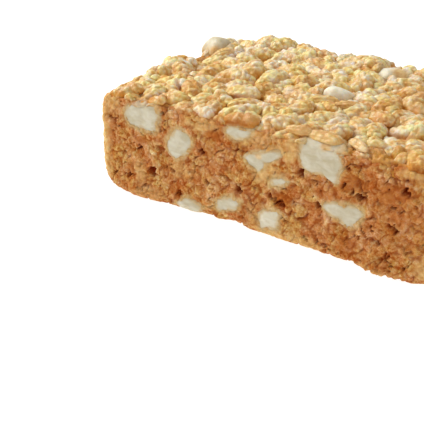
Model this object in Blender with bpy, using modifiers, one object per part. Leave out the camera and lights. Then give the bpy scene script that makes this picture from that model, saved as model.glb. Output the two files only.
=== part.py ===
"""A pressed bar of crisped rice with marshmallow pieces set in it, cut flush on all four sides.

Run it with: blender --background --python part.py

Units are metres and +Z is up. The bar lies on its underside, its length along X and its width along Y,
and the origin is under its middle. It is built up as the real one is: a sticky pressed core, a top layer
of whole puffed grains that stops at the four cut sides, and marshmallow pieces in pockets, trimmed by the
knife a little inside the highest crumb.
"""

import math
import random

import bmesh
import bpy
from mathutils import Matrix, Vector, noise

MM = 0.001

# The bar. HEIGHT is the usual level of the grains' backs, and single grains stand a little above it.
LENGTH = 92 * MM
WIDTH = 44.5 * MM
HEIGHT = 20 * MM
END_ROUND = 4.4 * MM  # rounding along the top and bottom edges of the two ends
SIDE_ROUND = 1.6 * MM  # rounding along the top edges of the two long sides
FOOT_ROUND = 2.0 * MM  # rounding along their bottom edges
CORNER_ROUND = 2.6 * MM  # rounding of the four upright edges
ROUND_SEGMENTS = 4
SWELL = 0.5 * MM  # slow rise and fall of the top
SWELL_SPAN = 17 * MM

# Single rises and hollows of the top: the place, the span and the rise, which is below nothing for a hollow.
# The first is a chip out of the left end's top edge.
RISES_MM = (
    ((-44.9, 4.2), 3.4, -1.9),
    ((-41.5, 19.5), 3.8, -1.3),
    ((-44.0, 0.2), 2.6, 1.1),
    ((-42.4, 10.8), 3.8, 1.2),
    ((-12.5, 19.5), 4.2, 1.2),
)

# The crumb of the cut sides: facets, and how far its crags go in from the knife's plane.
CRUMB_FACET = 2.55 * MM
CRAG_DEPTH = 0.9 * MM
CRAG_SPAN = 2.6 * MM
PIT_DEPTH = 0.9 * MM
PIT_SHARE = 0.055  # share of the crumb's points that are pits
PIT_SHIFT = Vector((7.3, 1.9, 4.1))  # keeps the pits' places free of the crags'
LEVEL_ANGLE = math.radians(20)  # a point that faces this near to up or down has no crag
FLAT_ANGLE = math.radians(2)  # facets of the core this close to one plane are one facet
SEAM_ANGLE = math.radians(0.6)  # facets of a grain that a seam cuts stay this flat
CRUMB_ANGLE = math.radians(4)  # facets of the finished crumb this close are one

# Puffed grains: full length, width and thickness of a middling one.
GRAIN_SIZE = Vector((6.3, 3.7, 3.2)) * MM
GRAIN_SPREAD = 0.16  # how much a single grain's size differs from that
GRAIN_SLIMNESS = 0.08  # how much longer and slimmer, or shorter and wider, a single grain is
GRAIN_AROUND = 6
GRAIN_ALONG = 4
GRAIN_BLUNTNESS = 0.85  # 1 is an ellipsoid, and less is nearer to a capsule
GRAIN_BEND = 0.12  # of its width
GRAIN_COUNT = 163
GRAIN_TRIES = 9000
GRAIN_CLOSENESS = 0.76  # how near two grains may lie, 1 being just touching
GRAIN_MARGIN = 0.4  # of a grain's width, between its middle and the cut side
GRAIN_TILT = math.radians(13)
GRAIN_LIFT = 0.16  # of its thickness, up or down from the usual level
GRAIN_SUNK = 0.56  # share of a grain's thickness that is below the core's top
GRAIN_CUT = (0.05 * MM, 0.3 * MM)  # how far in from the knife's plane a grain at the side is cut
GRAIN_SEED = 11

# Marshmallow pieces.
POCKET_GAP = 0.3 * MM
PIECE_DEPTH = 5.2 * MM  # how far a piece on a cut side reaches in
PIECE_INSET = 0.22 * MM  # how far a piece's cut face lies in from the highest crumb
PIECE_RINGS = 4
PIECE_SOFTNESS = math.radians(8)  # how far round a piece its corners are softened
TOP_PIECE_THICKNESS = 4.6 * MM
TOP_PIECE_SUNK = 0.42  # share of that thickness from the piece's middle up to the grains' backs
TOP_PIECE_RINGS = 6
TOP_PIECE_ROOM = 0.3  # of a grain's width, kept free of grains round a piece on the top
DRAWN_CORNERS = 6
DRAWN_REACH = (0.9, 1.12)  # how far out a drawn corner lies, 1 being on the ellipse
DRAWN_STEP = 0.25  # how far a drawn corner strays round the piece, 1 being on to the next
PIECE_SEED = 5

GRAIN_CREASE = math.radians(35)
PIECE_CREASE = math.radians(50)

CORE_TOP = HEIGHT - (1 - GRAIN_SUNK) * GRAIN_SIZE.z

# The cut outlines on the front, in order round each piece: place along X and height above the floor.
FRONT_OUTLINES_MM = (
    ((-39.6, 15.8), (-37.7, 17.8), (-35.0, 17.6), (-32.6, 18.8), (-31.0, 16.5), (-32.4, 13.4), (-38.4, 13.7)),
    ((-29.8, 12.8), (-27.3, 15.7), (-25.0, 15.4), (-24.0, 13.6), (-25.1, 11.4), (-27.5, 9.5), (-29.4, 10.6)),
    ((-17.7, 17.1), (-16.1, 18.4), (-11.3, 18.6), (-12.4, 17.2), (-15.0, 16.3)),
    ((-13.8, 13.8), (-11.5, 15.0), (-5.6, 16.8), (-6.4, 15.1), (-8.6, 13.5), (-10.3, 11.7), (-12.3, 12.5)),
    ((-8.2, 11.0), (-5.7, 12.2), (-4.5, 11.5), (-5.7, 10.4), (-7.9, 9.9)),
    ((-2.8, 16.8), (-2.2, 18.9), (5.4, 19.3), (5.2, 15.1), (4.8, 13.4), (3.3, 13.3), (2.5, 14.4), (-0.6, 14.2)),
    ((1.3, 9.2), (3.9, 10.5), (8.4, 10.5), (9.4, 9.4), (6.8, 6.4), (3.9, 7.6)),
    ((-10.3, 4.2), (-9.0, 5.4), (-6.1, 5.7), (-6.4, 2.2), (-9.9, 1.6)),
    ((-19.1, 4.4), (-16.0, 5.9), (-13.7, 5.4), (-14.7, 3.4), (-18.9, 2.3)),
    ((-28.0, 1.6), (-25.2, 3.2), (-21.4, 2.1), (-22.8, 0.3), (-27.2, 0.3)),
    ((23.0, 5.8), (25.2, 7.2), (28.6, 5.4), (27.4, 2.8), (23.8, 2.2)),
    ((26.4, 15.6), (30.0, 17.2), (33.8, 15.4), (33.0, 11.4), (28.6, 11.0), (26.6, 13.0)),
    ((35.8, 9.6), (38.0, 11.8), (41.4, 10.6), (41.6, 6.2), (38.8, 4.8), (36.0, 6.4)),
)

# The pieces of each other face: the middle, the width, the height and the turn in degrees. The middle is
# a place along X or, on the ends, along Y, and then the height or, on the top and the underside, Y.
OTHER_PIECES_MM = {
    "back": (
        (-36.0, 7.0, 7.2, 5.2, 10),
        (-24.0, 14.6, 6.0, 5.4, -14),
        (-9.5, 8.4, 8.4, 6.0, 6),
        (4.0, 16.0, 6.6, 4.4, -8),
        (16.5, 5.6, 6.2, 5.8, 18),
        (29.0, 12.4, 8.0, 5.6, -4),
        (39.5, 4.8, 5.0, 4.4, 0),
    ),
    "top": (
        (-42.4, 10.4, 7.0, 6.2, 30),
        (-8.3, -0.4, 6.8, 4.0, 22),
        (-5.8, 16.4, 6.8, 5.0, 20),
        (11.2, 0.4, 6.8, 6.4, 24),
        (26.5, -9.5, 7.0, 5.0, -36),
        (36.0, 11.0, 5.8, 5.2, 12),
    ),
    "left": ((-9.0, 8.2, 7.0, 5.4, -10), (8.6, 11.4, 6.2, 5.8, 16)),
    "right": ((-10.4, 12.2, 6.8, 6.0, 8), (9.2, 6.4, 7.4, 5.2, -12)),
    "underside": ((-18.0, 6.5, 7.2, 6.0, 20), (21.0, -5.0, 6.4, 6.8, -30)),
}


def principled(name, colour, roughness):
    material = bpy.data.materials.new(name)
    material.use_nodes = True
    shader = material.node_tree.nodes["Principled BSDF"]
    shader.inputs["Base Color"].default_value = (*colour, 1)
    shader.inputs["Roughness"].default_value = roughness
    shader.inputs["Metallic"].default_value = 0
    return material


def toasted_rice():
    return principled("toasted_rice", (0.66, 0.40, 0.16), 0.5)


def marshmallow():
    return principled("marshmallow", (0.86, 0.82, 0.70), 0.6)


def new_collection(name):
    made = bpy.data.collections.new(name)
    bpy.context.scene.collection.children.link(made)
    return made


def new_object(name, mesh, collection):
    made = bpy.data.objects.new(name, mesh)
    collection.objects.link(made)
    return made


def mesh_from(bm, name):
    mesh = bpy.data.meshes.new(name)
    bm.to_mesh(mesh)
    bm.free()
    return mesh


def in_fixed_order(mesh):
    """The same mesh with its points and faces sorted, because a Boolean leaves them in no fixed order."""
    order = sorted(range(len(mesh.vertices)), key=lambda index: tuple(mesh.vertices[index].co))
    rank = {old: new for new, old in enumerate(order)}
    faces = []
    for polygon in mesh.polygons:
        corners = [rank[index] for index in polygon.vertices]
        first = corners.index(min(corners))
        faces.append(corners[first:] + corners[:first])
    made = bpy.data.meshes.new(mesh.name)
    made.from_pydata([mesh.vertices[index].co for index in order], [], sorted(faces))
    return made


def apply_modifiers(obj):
    """Makes the object's evaluated shape its own mesh."""
    graph = bpy.context.evaluated_depsgraph_get()
    made = bpy.data.meshes.new_from_object(obj.evaluated_get(graph))
    obj.modifiers.clear()
    obj.data = in_fixed_order(made)


def remove_all(collection):
    for obj in list(collection.objects):
        bpy.data.objects.remove(obj)
    bpy.data.collections.remove(collection)


def boolean(obj, operation, other):
    """Joins, cuts or trims obj by another object or by a whole collection, and applies it."""
    modifier = obj.modifiers.new(operation.lower(), "BOOLEAN")
    modifier.operation = operation
    modifier.solver = "MANIFOLD"  # the exact solver takes minutes over this many grains
    if isinstance(other, bpy.types.Collection):
        modifier.operand_type = "COLLECTION"
        modifier.collection = other
    else:
        modifier.object = other
    apply_modifiers(obj)


def merge_flat_facets(obj, angle):
    """Makes facets that lie within this angle of one plane one face, cut into as few triangles as it takes."""
    bm = bmesh.new()
    bm.from_mesh(obj.data)
    bmesh.ops.dissolve_limit(bm, angle_limit=angle, verts=bm.verts, edges=bm.edges)
    bmesh.ops.triangulate(bm, faces=bm.faces)
    obj.data = mesh_from(bm, obj.name)


def keep_largest_shell(obj):
    """Fills hollows that the grains seal and drops loose scraps: only the outer skin stays."""
    bm = bmesh.new()
    bm.from_mesh(obj.data)
    unseen = set(bm.verts)
    shells = []
    while unseen:
        shell = set()
        front = [unseen.pop()]
        while front:
            vert = front.pop()
            shell.add(vert)
            for edge in vert.link_edges:
                other = edge.other_vert(vert)
                if other in unseen:
                    unseen.remove(other)
                    front.append(other)
        shells.append(shell)
    shells.sort(key=len)
    for shell in shells[:-1]:
        bmesh.ops.delete(bm, geom=list(shell), context="VERTS")
    obj.data = mesh_from(bm, obj.name)


def rounded_drop(distance, radius):
    """How far a rounded edge has fallen at this distance in from the side."""
    inward = min(max(radius - distance, 0), radius)
    return radius - math.sqrt(radius**2 - inward**2)


def top_level(x, y):
    """The level of the grains' backs over a point of the plan."""
    level = HEIGHT + SWELL * noise.noise(Vector((x, y, 0)) / SWELL_SPAN)
    for place, span, rise in RISES_MM:
        away = (Vector((x, y)) - Vector(place) * MM).length / (span * MM)
        level += rise * MM * math.exp(-(away**2))
    at_end = rounded_drop(LENGTH / 2 - abs(x), END_ROUND)
    at_side = rounded_drop(WIDTH / 2 - abs(y), SIDE_ROUND)
    return level - max(at_end, at_side)


def block(name, top, inset, collection):
    """The bar's outline as a box from the floor up to top, set in from the four sides, its edges rounded."""
    bm = bmesh.new()
    bmesh.ops.create_cube(bm, size=1)
    bmesh.ops.scale(bm, vec=(LENGTH - 2 * inset, WIDTH - 2 * inset, top), verts=bm.verts)
    bmesh.ops.translate(bm, vec=(0, 0, top / 2), verts=bm.verts)
    weights = []
    for edge in bm.edges:
        start, end = (vert.co for vert in edge.verts)
        along = end - start
        if abs(along.z) > 0:
            weights.append(CORNER_ROUND / END_ROUND)
        elif abs(along.y) > 0:
            weights.append(1)
        else:
            weights.append((SIDE_ROUND if start.z > top / 2 else FOOT_ROUND) / END_ROUND)
    mesh = mesh_from(bm, name)
    mesh.attributes.new("bevel_weight_edge", "FLOAT", "EDGE").data.foreach_set("value", weights)
    obj = new_object(name, mesh, collection)
    bevel = obj.modifiers.new("rounded edges", "BEVEL")
    bevel.limit_method = "WEIGHT"
    bevel.width = END_ROUND
    bevel.segments = ROUND_SEGMENTS
    apply_modifiers(obj)
    return obj


def crag(point):
    """How far the crumb lies in from the knife's plane at this point."""
    rough = 0.5 + 0.5 * noise.noise(point / CRAG_SPAN)
    pit = noise.cell(point / CRUMB_FACET + PIT_SHIFT) < PIT_SHARE
    return CRAG_DEPTH * rough + (PIT_DEPTH if pit else 0)


def cut_hollow(core, place, span, depth, parts):
    """Takes a hollow of the top out of the core, below the grains that lie in it."""
    radius = (span**2 + depth**2) / (2 * depth)
    bm = bmesh.new()
    bmesh.ops.create_icosphere(bm, subdivisions=2, radius=radius)
    bmesh.ops.translate(bm, vec=(*place, CORE_TOP - depth + radius), verts=bm.verts)
    hollow = new_object("hollow", mesh_from(bm, "hollow"), parts)
    boolean(core, "DIFFERENCE", hollow)
    bpy.data.objects.remove(hollow)


def crumb_core(parts):
    """The pressed core: even facets, crags on the cut sides, and a flat underside and top."""
    outline = block("outline", CORE_TOP, 0, parts)
    core = block("crisped_rice", CORE_TOP, 0, parts)
    remesh = core.modifiers.new("even facets", "REMESH")
    remesh.mode = "VOXEL"
    remesh.voxel_size = CRUMB_FACET
    # The remesh cuts the rounded edges off, and this puts its points back on them.
    core.modifiers.new("back on the outline", "SHRINKWRAP").target = outline
    apply_modifiers(core)
    bpy.data.objects.remove(outline)
    bm = bmesh.new()
    bm.from_mesh(core.data)
    bm.normal_update()
    for vert in bm.verts:
        if abs(vert.normal.z) < math.cos(LEVEL_ANGLE):
            outward = Vector((vert.normal.x, vert.normal.y, 0))
            vert.co -= outward * crag(vert.co)
    core.data = mesh_from(bm, "crisped_rice")
    merge_flat_facets(core, FLAT_ANGLE)
    for place, span, rise in RISES_MM:
        if rise < 0:
            cut_hollow(core, Vector(place) * MM, span * MM, -rise * MM, parts)
    return core


def footprint_overlap(a, b):
    """Whether two grains lying on the top are too close, from their places, turns and sizes."""
    apart = b["place"] - a["place"]
    reach = apart.length
    if reach > a["size"].x / 2 + b["size"].x / 2:
        return False
    toward = math.atan2(apart.y, apart.x)
    room = 0
    for grain in (a, b):
        turned = toward - grain["turn"]
        along = math.cos(turned) / (grain["size"].x / 2)
        across = math.sin(turned) / (grain["size"].y / 2)
        room += 1 / math.hypot(along, across)
    return reach < GRAIN_CLOSENESS * room


def near_top_piece(place):
    """Whether a grain here would bury a marshmallow piece that shows on the top."""
    for x, y, width, height, _ in OTHER_PIECES_MM["top"]:
        clear = (width + height) / 4 * MM + GRAIN_SIZE.y * TOP_PIECE_ROOM
        if (place - Vector((x, y)) * MM).length < clear:
            return True
    return False


def lay_grains():
    """Places, turns and sizes of the whole grains, the largest first, packed over the top."""
    draw = random.Random(GRAIN_SEED)
    margin = GRAIN_SIZE.y * GRAIN_MARGIN
    laid = []
    for attempt in range(GRAIN_TRIES):
        scale = 1 + GRAIN_SPREAD * (1 - 2 * attempt / GRAIN_TRIES)
        slim = draw.uniform(1 - GRAIN_SLIMNESS, 1 + GRAIN_SLIMNESS)
        x = draw.uniform(-1, 1) * (LENGTH / 2 - margin)
        y = draw.uniform(-1, 1) * (WIDTH / 2 - margin)
        grain = {
            "place": Vector((x, y)),
            "turn": draw.uniform(-math.pi / 2, math.pi / 2),
            "tilt": draw.gauss(0, GRAIN_TILT),
            "roll": draw.uniform(0, math.pi),
            "bend": draw.uniform(-GRAIN_BEND, GRAIN_BEND),
            "lift": draw.uniform(-GRAIN_LIFT, GRAIN_LIFT),
            "cut": draw.uniform(*GRAIN_CUT),
            "size": Vector((GRAIN_SIZE.x / slim, GRAIN_SIZE.y * slim, GRAIN_SIZE.z)) * scale,
        }
        if near_top_piece(grain["place"]) or any(footprint_overlap(grain, other) for other in laid):
            continue
        laid.append(grain)
        if len(laid) == GRAIN_COUNT:
            break
    return laid


def inside_knife(point, inset):
    """The point, or where it overhangs the cut sides, the nearest one that lies in from them by inset."""
    corner = Vector((LENGTH / 2 - CORNER_ROUND, WIDTH / 2 - CORNER_ROUND))
    past = Vector((max(abs(point.x) - corner.x, 0), max(abs(point.y) - corner.y, 0)))
    reach = CORNER_ROUND - inset
    if past.length <= reach:
        return point
    held = past * (reach / past.length)
    x = math.copysign(min(abs(point.x), corner.x) + held.x, point.x)
    y = math.copysign(min(abs(point.y), corner.y) + held.y, point.y)
    return Vector((x, y, point.z))


def puffed_grain(name, grain, collection):
    """One grain: a lumpy, slightly bent ellipsoid along X, laid on the top with its back at top_level."""
    bm = bmesh.new()
    bmesh.ops.create_uvsphere(
        bm,
        u_segments=GRAIN_AROUND,
        v_segments=GRAIN_ALONG,
        radius=0.5,
        matrix=Matrix.Rotation(math.pi / 2, 4, "Y") @ Matrix.Rotation(grain["roll"], 4, "Z"),
    )
    for vert in bm.verts:
        # Blunter ends than an ellipsoid's, and a slight bend.
        vert.co.x = math.copysign(0.5 * abs(2 * vert.co.x) ** GRAIN_BLUNTNESS, vert.co.x)
        vert.co.y += grain["bend"] * (1 - 4 * vert.co.x**2)
    bmesh.ops.scale(bm, vec=grain["size"], verts=bm.verts)
    x, y = grain["place"]
    slope_x = (top_level(x + MM, y) - top_level(x - MM, y)) / (2 * MM)
    slope_y = (top_level(x, y + MM) - top_level(x, y - MM)) / (2 * MM)
    upright = Vector((-slope_x, -slope_y, 1)).normalized()
    lean = Vector((0, 0, 1)).rotation_difference(upright).to_matrix().to_4x4()
    middle = Vector((x, y, top_level(x, y))) - upright * grain["size"].z * (0.5 - grain["lift"])
    turn = Matrix.Rotation(grain["turn"], 4, "Z") @ Matrix.Rotation(grain["tilt"], 4, "Y")
    bm.transform(Matrix.Translation(middle) @ lean @ turn)
    for vert in bm.verts:
        vert.co = inside_knife(vert.co, grain["cut"])
    return new_object(name, mesh_from(bm, name), collection)


def seen_piece(corners_mm):
    """A piece of the front, from its cut outline."""
    corners = [Vector(corner) * MM for corner in corners_mm]
    middle = sum(corners, Vector((0, 0))) / len(corners)
    return {"face": "front", "middle": middle, "corners": [corner - middle for corner in corners]}


def drawn_piece(face, along, up, width, height, turn):
    """A piece of another face, with an uneven outline of this width and height."""
    draw = random.Random(f"{PIECE_SEED} {face} {along}")
    turned = Matrix.Rotation(math.radians(turn), 2)
    corners = []
    for step in range(DRAWN_CORNERS):
        angle = 2 * math.pi * (step + draw.uniform(-DRAWN_STEP, DRAWN_STEP)) / DRAWN_CORNERS
        on_ellipse = Vector((math.cos(angle) * width, math.sin(angle) * height)) * MM / 2
        corners.append(turned @ on_ellipse * draw.uniform(*DRAWN_REACH))
    return {"face": face, "middle": Vector((along, up)) * MM, "corners": corners}


def all_pieces():
    """Every marshmallow piece, by name."""
    pieces = {}
    for number, corners in enumerate(FRONT_OUTLINES_MM, 1):
        pieces[f"marshmallow_front_{number}"] = seen_piece(corners)
    for face, shapes in OTHER_PIECES_MM.items():
        for number, shape in enumerate(shapes, 1):
            pieces[f"marshmallow_{face}_{number}"] = drawn_piece(face, *shape)
    return pieces


def straight_reach(corners, angle):
    """How far out the straight-sided outline through the corners lies in this direction."""
    ahead = Vector((math.cos(angle), math.sin(angle)))
    reach = 0
    for start, end in zip(corners, corners[1:] + corners[:1]):
        side = end - start
        crossing = ahead.cross(side)
        if crossing == 0:
            continue
        distance = start.cross(side) / crossing
        share = start.cross(ahead) / crossing
        if 0 <= share <= 1:
            reach = max(reach, distance)
    return reach


def soft_reach(corners, angle):
    """The same with the corners softened."""
    nearby = [angle + PIECE_SOFTNESS * step / 2 for step in (-2, -1, 0, 1, 2)]
    return sum(straight_reach(corners, near) for near in nearby) / len(nearby)


def outline_angles(corners):
    """The directions of the corners and, between them, of the sides, in order round the piece."""
    ends = sorted(math.atan2(corner.y, corner.x) for corner in corners)
    angles = []
    for here, after in zip(ends, ends[1:] + [ends[0] + 2 * math.pi]):
        angles += [here, (here + after) / 2]
    return angles


def face_frame(face, middle, depth):
    """A matrix whose X and Y lie in a face of the bar and whose Z points out of it, depth below the middle."""
    along, up = middle
    sides = {
        "front": ((1, 0, 0), (0, 0, 1), Vector((along, -WIDTH / 2, up))),
        "back": ((-1, 0, 0), (0, 0, 1), Vector((along, WIDTH / 2, up))),
        "left": ((0, -1, 0), (0, 0, 1), Vector((-LENGTH / 2, along, up))),
        "right": ((0, 1, 0), (0, 0, 1), Vector((LENGTH / 2, along, up))),
        "top": ((1, 0, 0), (0, 1, 0), Vector((along, up, top_level(along, up)))),
        "underside": ((-1, 0, 0), (0, 1, 0), Vector((along, up, 0))),
    }
    x_axis, y_axis, at_face = sides[face]
    outward = Vector(x_axis).cross(Vector(y_axis))
    frame = Matrix((x_axis, y_axis, outward)).transposed().to_4x4()
    frame.translation = at_face - outward * depth
    return frame


def marshmallow_lump(name, piece, grow, collection):
    """A squashed marshmallow piece with this outline, made bigger all round by grow."""
    # A piece on the top keeps its own round back. The others go on past the knife, which halves them.
    on_top = piece["face"] == "top"
    thickness = TOP_PIECE_THICKNESS if on_top else 2 * PIECE_DEPTH
    depth = thickness * TOP_PIECE_SUNK if on_top else 0
    rings = TOP_PIECE_RINGS if on_top else PIECE_RINGS
    angles = outline_angles(piece["corners"])
    bm = bmesh.new()
    bmesh.ops.create_uvsphere(bm, u_segments=len(angles), v_segments=rings, radius=1)
    for vert in bm.verts:
        step = round(math.atan2(vert.co.y, vert.co.x) / (2 * math.pi) * len(angles))
        angle = angles[step % len(angles)]
        reach = vert.co.xy.length * (soft_reach(piece["corners"], angle) + grow)
        vert.co = Vector((reach * math.cos(angle), reach * math.sin(angle), vert.co.z * (thickness / 2 + grow)))
    bm.transform(face_frame(piece["face"], piece["middle"], depth))
    return new_object(name, mesh_from(bm, name), collection)


def build_bar(parts):
    """The rice: the core and the grains, joined."""
    bar = crumb_core(parts)
    grains = new_collection("grains")
    for number, grain in enumerate(lay_grains()):
        puffed_grain(f"grain_{number:03d}", grain, grains)
    boolean(bar, "UNION", grains)
    remove_all(grains)
    merge_flat_facets(bar, SEAM_ANGLE)
    return bar


def seat_marshmallows(bar, parts):
    """Cuts a pocket for each piece and puts the piece in it, trimmed by the knife."""
    made = []
    knife = block("knife", HEIGHT + 2 * GRAIN_SIZE.z, PIECE_INSET, parts)
    for name, piece in all_pieces().items():
        pocket = marshmallow_lump("pocket", piece, POCKET_GAP, parts)
        boolean(bar, "DIFFERENCE", pocket)
        bpy.data.objects.remove(pocket)
        lump = marshmallow_lump(name, piece, 0, parts)
        boolean(lump, "INTERSECT", knife)
        made.append(lump)
    bpy.data.objects.remove(knife)
    return made


def finish(obj, material, crease):
    obj.data.materials.clear()
    obj.data.materials.append(material)
    obj.data.shade_smooth()
    obj.data.set_sharp_from_angle(angle=crease)


def main():
    for obj in list(bpy.data.objects):
        bpy.data.objects.remove(obj)
    parts = new_collection("marshmallow_bar")
    bar = build_bar(parts)
    pieces = seat_marshmallows(bar, parts)
    keep_largest_shell(bar)
    merge_flat_facets(bar, CRUMB_ANGLE)
    finish(bar, toasted_rice(), GRAIN_CREASE)
    white = marshmallow()
    for piece in pieces:
        finish(piece, white, PIECE_CREASE)


if __name__ == "__main__":
    main()
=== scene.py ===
"""The looks of a crisped-rice bar with marshmallow pieces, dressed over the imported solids.

Lengths are in millimetres until a mesh is made, and +Z is up. The layout repeats the one of the solids: the
same whole grains lie on the top and the same marshmallow pieces sit in the faces. The rice is a body with a
deep crumb on its cut sides, whole grains in three kinds on its top, and small grains that fill the gaps.
"""

import math
import random

import bmesh
import bpy
import numpy as np
from mathutils import Matrix, Vector, kdtree, noise
from mathutils.geometry import delaunay_2d_cdt


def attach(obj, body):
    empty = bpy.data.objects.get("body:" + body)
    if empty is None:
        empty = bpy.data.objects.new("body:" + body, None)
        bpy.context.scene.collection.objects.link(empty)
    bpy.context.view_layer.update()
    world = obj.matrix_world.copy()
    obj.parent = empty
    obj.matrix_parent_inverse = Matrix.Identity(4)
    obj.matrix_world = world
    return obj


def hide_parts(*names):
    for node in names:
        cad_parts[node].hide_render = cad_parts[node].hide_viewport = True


MM = 0.001

# The bar's outline, as the solids have it.
LENGTH = 92
WIDTH = 44.5
HEIGHT = 20
END_ROUND = 4.4
SIDE_ROUND = 1.6
FOOT_ROUND = 2.0
CORNER_ROUND = 2.6
SWELL = 0.5
SWELL_SPAN = 17
# Rises and hollows of the top: place, span and rise.
RISES = (
    ((-44.9, 4.2), 3.4, -1.9),
    ((-41.5, 19.5), 3.8, -1.3),
    ((-44.0, 0.2), 2.6, 1.1),
    ((-42.4, 10.8), 3.8, 1.2),
    ((-12.5, 19.5), 4.2, 1.2),
)

# Whole grains, laid by the same rule and the same draws as in the solids.
GRAIN_SIZE = np.array((6.3, 3.7, 3.2))
GRAIN_SPREAD = 0.16
GRAIN_SLIMNESS = 0.08
GRAIN_BLUNTNESS = 0.85
GRAIN_BEND = 0.12
GRAIN_COUNT = 163
GRAIN_TRIES = 9000
GRAIN_CLOSENESS = 0.76
GRAIN_MARGIN = 0.4
GRAIN_TILT = math.radians(13)
GRAIN_LIFT = (-0.16, 0.16)
GRAIN_SUNK = 0.56
GRAIN_SEED = 11
CORE_TOP = HEIGHT - (1 - GRAIN_SUNK) * GRAIN_SIZE[2]

# Small grains that fill the gaps between the whole ones.
FILLER_SCALE = (0.5, 0.8)
FILLER_STRETCH = (1, 1, 1.1)
FILLER_COUNT = 270
FILLER_TRIES = 14000
FILLER_CLOSENESS = 0.55
FILLER_LIFT = (-0.42, -0.02)
FILLER_TILT = math.radians(24)
FILLER_SEED = 23
# Single grains on the front's top edge and against the top's marshmallow: place, turn, size and lift.
EDGE_GRAINS = (
    ((0.7, -20.0), -4, 0.84, 0.3),
    ((-3.9, -20.2), 6, 0.62, 0.4),
    ((6.6, -20.1), -31, 0.58, 0.4),
    ((-9.4, -4.2), 30, 0.78, 0.15),
    ((-4.6, -3.6), 24, 0.62, 0.1),
    ((-38.9, 7.4), 40, 0.6, 0.2),
)
EDGE_STRETCH = (1.25, 0.88, 0.88)
EDGE_LOOKS = {"tilt": 0, "bend": 0.08, "pale": -0.3, "film": 0.5}

# The skin of a grain: blisters that puffing raised, or long soft wrinkles on a smooth one.
# Each kind has its name, how high its blisters stand, how far apart they are, how high its wrinkles are,
# and its share of the grains.
GRAIN_KINDS = (
    ("blistered_grains", 0.48, 1.15, 0.02, 0.36),
    ("knobbly_grains", 0.44, 0.9, 0.03, 0.36),
    ("wrinkled_grains", 0.26, 0.8, 0.12, 0.28),
)
FILLER_KIND = (0.36, 0.85, 0.03)
EDGE_KIND = (0.08, 0.85, 0.08)
GRAIN_SLACK = (1.0, 0.9, 0.92)
FEWEST_BLISTERS = 7
BLISTER_RADIUS = (0.5, 0.85)  # of the distance between them
BLISTER_EDGE = 1.08  # how far past its radius a blister runs out
# The creases between blisters are darkened with painted shade.
CREASE = (0.5, 1.1)  # between which distances from a blister, in its radii, a crease begins and is whole
CREASED_HEIGHT = 0.3  # how high blisters have to be for dark creases
WRINKLES_AROUND = 9
LUMPS = ((0.20, 2.0), (0.07, 0.55))  # how high, and how far apart
KIND_SEED = 3
UPPER_TURN = math.radians(240)  # the part of a grain's girth that has the finer mesh
LARGE_BALL = (30, 7, 30)  # segments round the upper part, round the rest, and along
SMALL_BALL = (16, 5, 15)
TRIM_SOFTNESS = 0.3  # how far a grain stands out past where it is cut at most
TRIM_DEPTH = 0.5
TRIM_ROUGH = 0.6
TRIM_NOISE = (0.7, 3.3)
GRAIN_RIM = (-0.2, 1.0)  # between which gaps to marshmallow a grain is melted, and not
GRAIN_RIM_NOISE = (1.5, 9.4)
CUT_PAST = (0.1, 1.2)  # how far past the knife a grain begins to look cut, and looks it most
CUT_MOST = 0.85
# The painted shade of a grain: in its creases and down its lower side, partly sugar that pools there.
LOWER_SHADE_SPAN = (0.4, 2.0)  # how far below its highest point a grain begins to darken, and is darkest
CREASE_SHADE_MOST = 0.7
# The grains get paler towards the back, and are toasted on a stretch of the front's edge. Its end is measured
# along minus X, and how near the front it is along minus Y.
PALE_BACK = 0.45
PALE_SPAN = (-6, 12)
TOASTED_MUCH = 0.9
TOASTED_FROM = (0, 12)
TOASTED_TO = (-30, -20)
TOASTED_NEAR = (WIDTH / 2 - 8, WIDTH / 2 - 3)

# Marshmallow pieces.
PIECE_DEPTH = 5.2
TOP_PIECE_THICKNESS = 4.6
TOP_PIECE_SUNK = 0.42
TOP_PIECE_ROOM = 0.3
DRAWN_CORNERS = 6
DRAWN_REACH = (0.9, 1.12)
DRAWN_STEP = 0.25
PIECE_SOFTNESS = math.radians(8)
PIECE_SEED = 5
PIECE_AROUND = 72
PIECE_INSET = 0.20
PIECE_UNDERCUT = 0.6  # how far a piece goes on under the crumb's edge
# The rings of a piece, as shares of its reach, from its face's middle to its edge, and of its back.
FACE_RINGS = (0.02, 0.12, 0.24, 0.36, 0.48, 0.6, 0.7, 0.79, 0.87, 0.94, 1.0)
BACK_RINGS = (0.97, 0.78, 0.5, 0.02)
TOP_PIECE_RINGS = np.radians(np.linspace(89, -89, 21))
TOP_PIECE_ROUND = 0.8
RIM_DROP = 0.12
RIM_INSIDE = 0.8
PIECE_LOWEST = 0.3
PIECE_WAVES = ((0.12, 2.2, 1.7),)
PIECE_STREAKS = ((0.035, 0.7, 4.1),)
STREAK_STRETCH = (0.5, 1, 1.6)
TOP_PIECE_WAVES = ((0.25, 2.2, 2.9), (0.07, 0.6, 7.9))
PIECE_RIM = ((0.3, 1.4, 6.6),)
TOP_PIECE_RIM = ((0.8, 1.5, 6.6),)
TOP_PIECE_MELTED = (-2.0, 0.3)  # how far below a top piece's middle melting begins, and is whole

# The body's mesh.
COLUMN_STEP = 0.21
WALL_ROWS = 68
FOOT_ROWS = 17
SHOULDER_ROWS = 10
UNDERSIDE_STEP = 0.5
COVERED_STEP = 0.9
CAP_JITTER = 0.25
LOWEST = 0.02
EDGE_RISE = 1.3
EDGE_RISE_SPAN = 2.2
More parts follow.
